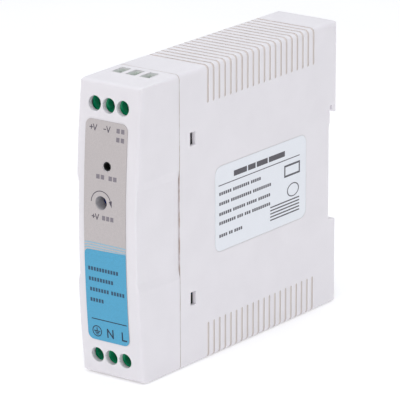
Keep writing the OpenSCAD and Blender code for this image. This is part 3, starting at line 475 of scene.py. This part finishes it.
def finishes():
    """Every material, by the names of the nodes that wear it."""
    tin = metal("tinned_metal", rgb(206, 205, 200), 0.32)
    steel = metal("screw_steel", rgb(176, 184, 196), 0.3)
    package = moulded("epoxy_package", rgb(38, 38, 41), 0.5, 0.1, 0.01)
    green = moulded("terminal_plastic", rgb(2, 169, 115), 0.38, 0.2, 0.008)
    black = moulded("black_plastic", rgb(34, 34, 36), 0.45)
    board = laminate("board_laminate")
    plate = metal("heatsink_metal", rgb(196, 198, 202), 0.38, (1, 1, 6), 0.3)
    sleeve = rgb(26, 34, 66)
    return [
        (case_plastic("case_plastic", CASE_WHITE, True), "housing"),
        (case_plastic("cover_plastic", CASE_WHITE, False), "front_cover"),
        (sticker("front_sticker", rgb(191, 184, 184), 0.05, 0.3, 0.42), "front_label"),
        (sticker("side_sticker", rgb(232, 235, 241), 0.015, 0.4, 0.35), "side_label"),
        (moulded("latch_plastic", rgb(228, 226, 228), 0.42), "din_latch"),
        (board, "terminal_board main_board"),
        (film("insulation_film"), "insulation_sheet"),
        (metal("solder", rgb(196, 198, 200), 0.28), "solder_joints"),
        (green, "terminal_block_top terminal_block_bottom"),
        (tin, "contact_bars_top contact_bars_bottom fuse_caps"),
        (tin, " ".join(f"clamp_cage_{end}_{i}" for end in ("top", "bottom") for i in (1, 2, 3))),
        (steel, " ".join(f"terminal_screw_{end}_{i}" for end in ("top", "bottom") for i in (1, 2, 3))),
        (steel, "heatsink_fasteners"),
        (lens("led_lens"), "indicator_led"),
        (black, "led_bezel led_spacer trimmer_riser link_headers transformer_bobbin"),
        (moulded("trimmer_plastic", rgb(20, 48, 128), 0.4), "trimmer_body"),
        (moulded("rotor_plastic", rgb(226, 222, 212), 0.45), "trimmer_rotor"),
        (metal("gold_pins", rgb(214, 170, 84), 0.28), "link_pins"),
        (coated("fuse_ceramic", rgb(226, 220, 206), 0.3), "fuse_tube"),
        (coated("thermistor_coat", rgb(46, 62, 44), 0.35), "inrush_thermistor"),
        (coated("varistor_coat", rgb(30, 78, 138), 0.25), "surge_varistor"),
        (coated("disc_blue", rgb(34, 96, 176), 0.25), "safety_capacitor"),
        (moulded("yellow_box", rgb(214, 172, 40), 0.35, 0.4, 0.02, 0.3), "line_capacitor"),
        (moulded("red_box", rgb(150, 44, 32), 0.35, 0.4, 0.02, 0.3), "film_capacitor"),
        (ferrite("ferrite"), "choke_core transformer_core"),
        (wound("drum_wire", rgb(58, 56, 58), 1.4, "X"), "output_inductor"),
        (package, "bridge_rectifier control_chip switching_transistor output_diode"),
        (moulded("coupler_plastic", rgb(226, 224, 218), 0.45), "optocoupler"),
        (plate, "primary_heatsink secondary_heatsink"),
        (sleeved_can("bulk_sleeve", sleeve, "X", "bulk_capacitor", "Z"), "bulk_capacitor"),
        (sleeved_can("output_sleeve", sleeve, "Y", "output_capacitors", "X"), "output_capacitors"),
        (sleeved_can("bias_sleeve", sleeve, "Z", "bias_capacitor", "X"), "bias_capacitor"),
        (wound("winding_tape", rgb(216, 168, 52), 2.6, "Z"), "transformer_winding"),
        (banded_resistor("resistor_blue", rgb(120, 148, 172), (67.5, 69.0, 70.5, 72.5)),
         "power_resistor"),
        (banded_resistor("resistor_tan", rgb(206, 178, 132), (25.2, 26.4, 37.2, 38.4, 55.2, 56.4)),
         "small_resistors"),
    ]


def paint_nodes():
    for finish, names in finishes():
        for name in names.split():
            slots = NODES[name].data.materials
            slots.clear()
            slots.append(finish.material)


# ---------------------------------------------------------------- printed marks

INK_T = 0.012                 # thickness of a printed mark
INK_SINK = 0.03               # how far its back lies inside the label
WORD_H = 1.35                 # height of the front label's word blocks


def front_y(z):
    """Y of the front label's face at a height, in millimetres."""
    return LABEL_LOW.y + BOW_R - math.sqrt(BOW_R ** 2 - (z - CASE_H / 2) ** 2)


def on_front(u, v, lift):
    return Vector((u, front_y(v) - lift, v)) * MM


def on_side(u, v, lift):
    return Vector((SIDE_HIGH.x + lift, u, v)) * MM


def clip(shape, low, high):
    """The part of a convex outline between two heights."""
    for limit, keep_above in ((low, True), (high, False)):
        kept = []
        for i, (u, v) in enumerate(shape):
            pu, pv = shape[i - 1]
            here = v >= limit if keep_above else v <= limit
            before = pv >= limit if keep_above else pv <= limit
            if here != before:
                kept.append((pu + (u - pu) * (limit - pv) / (v - pv), limit))
            if here:
                kept.append((u, v))
        shape = kept
    return shape


def signed_area(shape):
    return sum(shape[i - 1][0] * p[1] - p[0] * shape[i - 1][1] for i, p in enumerate(shape)) / 2


def print_marks(name, shapes, place, material, lift=0.0):
    """Lays convex outlines on a label as thin closed solids, joined in one piece."""
    points, faces = [], []
    for whole in shapes:
        for low, high in zip(SLICES, SLICES[1:]) if place is on_front else [(-1e3, 1e3)]:
            shape = clip(whole, low, high)
            if len(shape) < 3 or abs(signed_area(shape)) < 1e-5:
                continue
            if signed_area(shape) < 0:
                shape.reverse()
            n, first = len(shape), len(points)
            points += [place(u, v, lift + INK_T) for u, v in shape]
            points += [place(u, v, lift - INK_SINK) for u, v in shape]
            faces.append([first + i for i in range(n)])
            faces.append([first + n + i for i in reversed(range(n))])
            faces += [(first + i, first + n + i, first + n + (i + 1) % n, first + (i + 1) % n)
                      for i in range(n)]
    mesh = bpy.data.meshes.new(name)
    mesh.from_pydata(points, [], faces)
    mesh.materials.append(material)
    piece = bpy.data.objects.new(name, mesh)
    bpy.context.scene.collection.objects.link(piece)
    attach(piece, "case")
    return piece


def bar(u, v, width, height):
    """A plain bar from its lower left corner."""
    return [(u, v), (u + width, v), (u + width, v + height), (u, v + height)]


def stroke(points, width):
    """A line of even width through points, as one quad for each stretch."""
    quads = []
    for (u0, v0), (u1, v1) in zip(points, points[1:]):
        length = math.hypot(u1 - u0, v1 - v0)
        du, dv = (u1 - u0) / length * width / 2, (v1 - v0) / length * width / 2
        quads.append([(u0 - du - dv, v0 - dv + du), (u1 + du - dv, v1 + dv + du),
                      (u1 + du + dv, v1 + dv - du), (u0 - du + dv, v0 - dv - du)])
    return quads


def arc(centre, radius, start, end, width, steps=28):
    """A curved line between two angles, in degrees."""
    def at(i, r):
        a = math.radians(start + (end - start) * i / steps)
        return (centre[0] + r * math.cos(a), centre[1] + r * math.sin(a))
    inner, outer = radius - width / 2, radius + width / 2
    return [[at(i, inner), at(i + 1, inner), at(i + 1, outer), at(i, outer)] for i in range(steps)]


def stretched(shapes, u, v, wide):
    """Outlines round the origin, stretched along u and moved to a point."""
    return [[(u + wide * a, v + b) for a, b in shape] for shape in shapes]


def words(u, v, widths, height, gap):
    """A line of plain bars that stands for a line of text."""
    bars = []
    for width in widths:
        bars.append(bar(u, v, width, height))
        u += width + gap
    return bars


def outline(u, v, width, height, line):
    """A rectangle's outline, as four bars."""
    sides = [bar(u, v + rise, width, line) for rise in (0, height - line)]
    return sides + [bar(u + move, v + line, line, height - 2 * line) for move in (0, width - line)]


def letters(u, v, counts, width, height, gap):
    """A line of small blocks that stands for letters, in words of the given lengths."""
    blocks = []
    for count in counts:
        blocks += words(u, v, [width] * count, height, gap)
        u += (count + 0.6) * (width + gap)
    return blocks


def panel(u0, u1, v0, v1, radius, corners):
    """An outline with some of its corners round: corners names them by quadrant, 1 to 4."""
    shape = []
    for quadrant, (cu, cv) in enumerate(((u1, v1), (u0, v1), (u0, v0), (u1, v0)), 1):
        if quadrant not in corners:
            shape.append((cu, cv))
            continue
        mu = cu - radius if cu == u1 else cu + radius
        mv = cv - radius if cv == v1 else cv + radius
        for i in range(9):
            a = math.radians((quadrant - 1) * 90 + i * 90 / 8)
            shape.append((mu + radius * math.cos(a), mv + radius * math.sin(a)))
    return shape


FRONT_R = 2.0                 # corner radius of the front label
BLUE_TOP = (39.35, 39.8)      # height of the blue panel's top edge, at its left and right
BLUE_CORNER = 1.5
STRIPES = (40.0, 40.78, 41.55)  # heights of the three stripes over it
STRIPE_W = 0.34
PRINT_EDGE = 0.03             # how far the panel stops from the label's edge


def blue_panel():
    u0, u1 = LABEL_LOW.x + PRINT_EDGE, LABEL_HIGH.x - PRINT_EDGE
    v0 = LABEL_LOW.z + PRINT_EDGE
    shoulder = BLUE_TOP[0] - BLUE_CORNER
    shape = panel(u0, u1, v0, shoulder, FRONT_R - PRINT_EDGE, (3, 4))
    top = panel(u0, u1, shoulder, BLUE_TOP[0], BLUE_CORNER, (2,))
    top[0] = (u1, BLUE_TOP[1])
    return [shape, top]


def stripes():
    """Three thin lines over the panel, which bend down at their left ends."""
    shapes = []
    u0, u1 = LABEL_LOW.x + PRINT_EDGE, LABEL_HIGH.x - PRINT_EDGE
    centre = (u0 + BLUE_CORNER, BLUE_TOP[0] - BLUE_CORNER)
    for height in STRIPES:
        radius = height - centre[1]
        reach = math.degrees(math.acos(min(1, BLUE_CORNER / (radius + STRIPE_W / 2))))
        shapes += arc(centre, radius, 90, 180 - reach, STRIPE_W, 10)
        shapes.append(bar(centre[0], height - STRIPE_W / 2, u1 - centre[0], STRIPE_W))
    return shapes


def plus(u, v, size, width):
    return (stroke([(u - size / 2, v), (u + size / 2, v)], width)
            + stroke([(u, v - size / 2), (u, v + size / 2)], width))


def earth_symbol(u, v, radius, width):
    shapes = arc((u, v), radius, 0, 360, width)
    shapes += stroke([(u, v + radius * 0.62), (u, v)], width)
    for drop, half in ((0.0, 0.62), (0.3, 0.4), (0.6, 0.18)):
        shapes += stroke([(u - radius * half, v - radius * drop),
                          (u + radius * half, v - radius * drop)], width)
    return shapes


def letter_v(u, v, width, height, line):
    return stroke([(u, v + height), (u + width / 2, v), (u + width, v + height)], line)


def letter_n(u, v, width, height, line):
    return stroke([(u, v), (u, v + height), (u + width, v), (u + width, v + height)], line)


def letter_l(u, v, width, height, line):
    return stroke([(u, v + height), (u, v), (u + width, v)], line)


def turn_arrow(line):
    """A clockwise arrow over the adjuster's hole."""
    radius = 3.55
    shapes = arc(ADJUST_AT, radius, 180, 12, line, 24)
    tip = (ADJUST_AT[0] + radius + 0.35, ADJUST_AT[1] - 0.9)
    back = (ADJUST_AT[0] + radius - 0.1, ADJUST_AT[1] + 1.15)
    shapes.append([tip, (back[0] + 0.5, back[1] + 0.1), (back[0] - 0.6, back[1] - 0.3)])
    return shapes


def front_marks():
    """The output terminals' signs, the adjuster's sign, and the arrow round the adjuster."""
    line = 0.28
    shapes = plus(-6.4, 75.9, 1.1, line) + letter_v(-5.7, 75.15, 1.25, 1.6, line)
    shapes += stroke([(-1.85, 75.9), (-1.15, 75.9)], line) + letter_v(-0.85, 75.25, 1.25, 1.6, line)
    shapes += turn_arrow(0.26)
    return shapes + plus(-5.0, 49.6, 1.0, line) + letter_v(-4.3, 48.85, 1.2, 1.5, line)


def front_words():
    """Blocks in the places of the words for the indicator and the adjuster."""
    shapes = []
    for u, v, count, width, gap in ((2.75, 75.45, 2, 1.2, 0.45), (2.75, 72.85, 2, 1.2, 0.45),
                                    (-4.1, 61.05, 2, 1.25, 0.4), (0.4, 61.05, 2, 1.25, 0.4),
                                    (-1.85, 48.9, 3, 1.15, 0.35)):
        shapes += letters(u, v, (count,), width, WORD_H, gap)
    return shapes


def rating_marks():
    """The rule over the lower terminals and their signs."""
    shapes = stroke([(-6.7, 17.95), (5.9, 17.95)], 0.3)
    shapes += earth_symbol(-5.1, 14.16, 1.6, 0.31)
    shapes += letter_n(-1.2, 13.0, 1.95, 2.35, 0.46)
    return shapes + letter_l(4.2, 13.0, 1.45, 2.35, 0.46)


def rating_words():
    """Four lines of blocks in the places of the ratings."""
    shapes = []
    for u, v, counts in ((-7.25, 32.95, (11,)), (-7.15, 29.75, (9,)),
                         (-6.85, 26.55, (7, 5)), (-6.9, 23.3, (5,))):
        shapes += letters(u, v, counts, 0.72, 1.15, 0.3)
    return shapes


def side_marks():
    """The rating plate's lines, as plain blocks, bars and rules."""
    u, v = SIDE_LOW.y, SIDE_LOW.z
    shapes = words(u + 9.3, v + 21.6, (6.6, 3.8, 5.6, 8.3), 1.7, 0.6)
    shapes += stroke([(u + 1.8, v + 20.3), (u + 43.0, v + 20.3)], 0.28)
    lines = ((17.2, (6, 8, 5)), (14.1, (5, 10, 9)), (10.95, (6, 6, 5, 6)),
             (8.1, (8, 3, 3, 9)), (4.2, (4, 2, 4)))
    for rise, counts in lines:
        shapes += letters(u + 2.0, v + rise, counts, 0.77, 0.95, 0.28)
    shapes += outline(u + 35.1, v + 14.8, 8.2, 3.8, 0.6)
    shapes += stretched(arc((0, 0), 2.0, 0, 360, 0.3), u + 39.7, v + 10.2, 1.45)
    return shapes + [bar(u + 27.9, v + rise, 15.1, 0.4) for rise in (7.0, 6.0, 5.0, 4.0, 3.0)]


def add_prints():
    blue = sticker("print_blue", rgb(70, 162, 201), 0.07, 0.3, 0.4).material
    pale_blue = sticker("print_pale_blue", rgb(142, 186, 208), 0.05, 0.3, 0.4).material
    dark = ink("print_dark", rgb(78, 72, 84)).material
    grey = ink("print_grey", rgb(128, 122, 130)).material
    navy = ink("print_navy", rgb(26, 44, 66)).material
    slate = ink("print_slate", rgb(42, 74, 100)).material
    black = ink("print_black", rgb(84, 82, 88)).material
    print_marks("front_print_panel", blue_panel(), on_front, blue)
    print_marks("front_print_stripes", stripes(), on_front, pale_blue)
    print_marks("front_print_signs", front_marks(), on_front, dark)
    print_marks("front_print_words", front_words(), on_front, grey)
    print_marks("front_print_terminals", rating_marks(), on_front, navy, INK_T)
    print_marks("front_print_ratings", rating_words(), on_front, slate, INK_T)
    print_marks("side_print_marks", side_marks(), on_side, black)


# ---------------------------------------------------------------- wire

def tube(name, path, radius, sides, material):
    """A round wire swept along points, closed at both ends, as one mesh."""
    points, faces = [], []
    normal = None
    for i, here in enumerate(path):
        ahead = (path[min(i + 1, len(path) - 1)] - path[max(i - 1, 0)]).normalized()
        if normal is None:
            normal = ahead.orthogonal().normalized()
        normal = (normal - ahead * normal.dot(ahead)).normalized()
        other = ahead.cross(normal)
        for s in range(sides):
            a = 2 * math.pi * s / sides
            points.append(here + (normal * math.cos(a) + other * math.sin(a)) * radius)
    for i in range(len(path) - 1):
        for s in range(sides):
            t = (s + 1) % sides
            a, b = i * sides, (i + 1) * sides
            faces.append((a + s, a + t, b + t, b + s))
    faces.append(tuple(reversed(range(sides))))
    faces.append(tuple((len(path) - 1) * sides + s for s in range(sides)))
    mesh = bpy.data.meshes.new(name)
    mesh.from_pydata([p * MM for p in points], [], faces)
    mesh.polygons.foreach_set("use_smooth", [True] * len(mesh.polygons))
    mesh.materials.append(material)
    piece = bpy.data.objects.new(name, mesh)
    bpy.context.scene.collection.objects.link(piece)
    return piece


def add_spring():
    """The latch's coil spring, with its end turns closed."""
    wire = 0.25               # radius of the wire
    turns, closed, steps = 6.0, 0.75, 28
    low, high = (Vector(c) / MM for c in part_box("latch_spring"))
    radius = (high.x - low.x) / 2 - wire
    centre = (low + high) / 2
    rise = high.z - low.z - 2 * wire
    pitch = 2 * wire * closed
    path = []
    for i in range(int(turns * steps) + 1):
        t = i / steps
        middle = min(max((t - closed) / (turns - 2 * closed), 0), 1)
        z = pitch * min(t, closed) / closed + (rise - 2 * pitch) * middle
        z += pitch * max(0, t - (turns - closed)) / closed
        a = 2 * math.pi * t
        path.append(Vector((centre.x + radius * math.cos(a), centre.y + radius * math.sin(a),
                            low.z + wire + z)))
    steel = metal("spring_steel", rgb(190, 192, 196), 0.25)
    spring = tube("coil_spring", path, wire, 12, steel.material)
    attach(spring, "case")
    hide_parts("latch_spring")
    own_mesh(spring)


def add_choke_wire():
    """Two windings of enamelled wire round the choke's ring, with their leads."""
    wire, gap = 0.36, 0.02    # the wire's radius, and its distance from the core
    bore = 3.2                # radius of the core's hole
    start, sweep = 14, 152    # the first turn's angle, and the angle that a winding covers
    turns, steps = 13, 20
    square = 0.35             # pulls each turn's corners out towards the core's own
    foot_x, head_x = 2.4, 4.6  # how far a lead reaches behind the board's face, and from the core
    lead_y, lead_z = 2.5, 4.5
    core_low, core_high = (Vector(c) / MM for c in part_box("choke_core"))
    board_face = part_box("main_board")[1].x / MM
    centre = (core_low + core_high) / 2
    outer = (core_high.x - core_low.x) / 2 + wire + gap
    inner, half_y = bore - wire - gap, (core_high.y - core_low.y) / 2 + wire + gap
    enamel = wound("enamelled_wire", rgb(172, 84, 36), 0.9, "Y", 0.6).material
    pieces = []
    for side, level in ((1, "upper"), (-1, "lower")):
        path = []
        for i in range(turns * steps + 1):
            t = i / steps
            a = math.radians(side * (start + sweep * t / turns))
            b = 2 * math.pi * t
            c, s = math.cos(b), math.sin(b)
            c = math.copysign(abs(c) ** (1 - square), c)
            s = math.copysign(abs(s) ** (1 - square), s)
            r = (outer + inner) / 2 + (outer - inner) / 2 * c
            path.append(centre + Vector((-r * math.cos(a), half_y * s, r * math.sin(a))))
        pieces.append(tube(f"choke_wire_{level}", path, wire, 8, enamel))
        for y, end in ((-1, "front"), (1, "back")):
            foot = Vector((board_face - foot_x, centre.y + lead_y * y, centre.z + side * lead_z))
            head = Vector((centre.x - head_x, foot.y, foot.z))
            lead = [foot, (foot + head) / 2, head]
            pieces.append(tube(f"choke_lead_{level}_{end}", lead, wire, 8, enamel))
    for piece in pieces:
        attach(piece, "case")
    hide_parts("choke_windings")


add_camera()
add_studio()
paint_nodes()
add_prints()
add_spring()
add_choke_wire()
bpy.context.scene.view_settings.view_transform = "Standard"
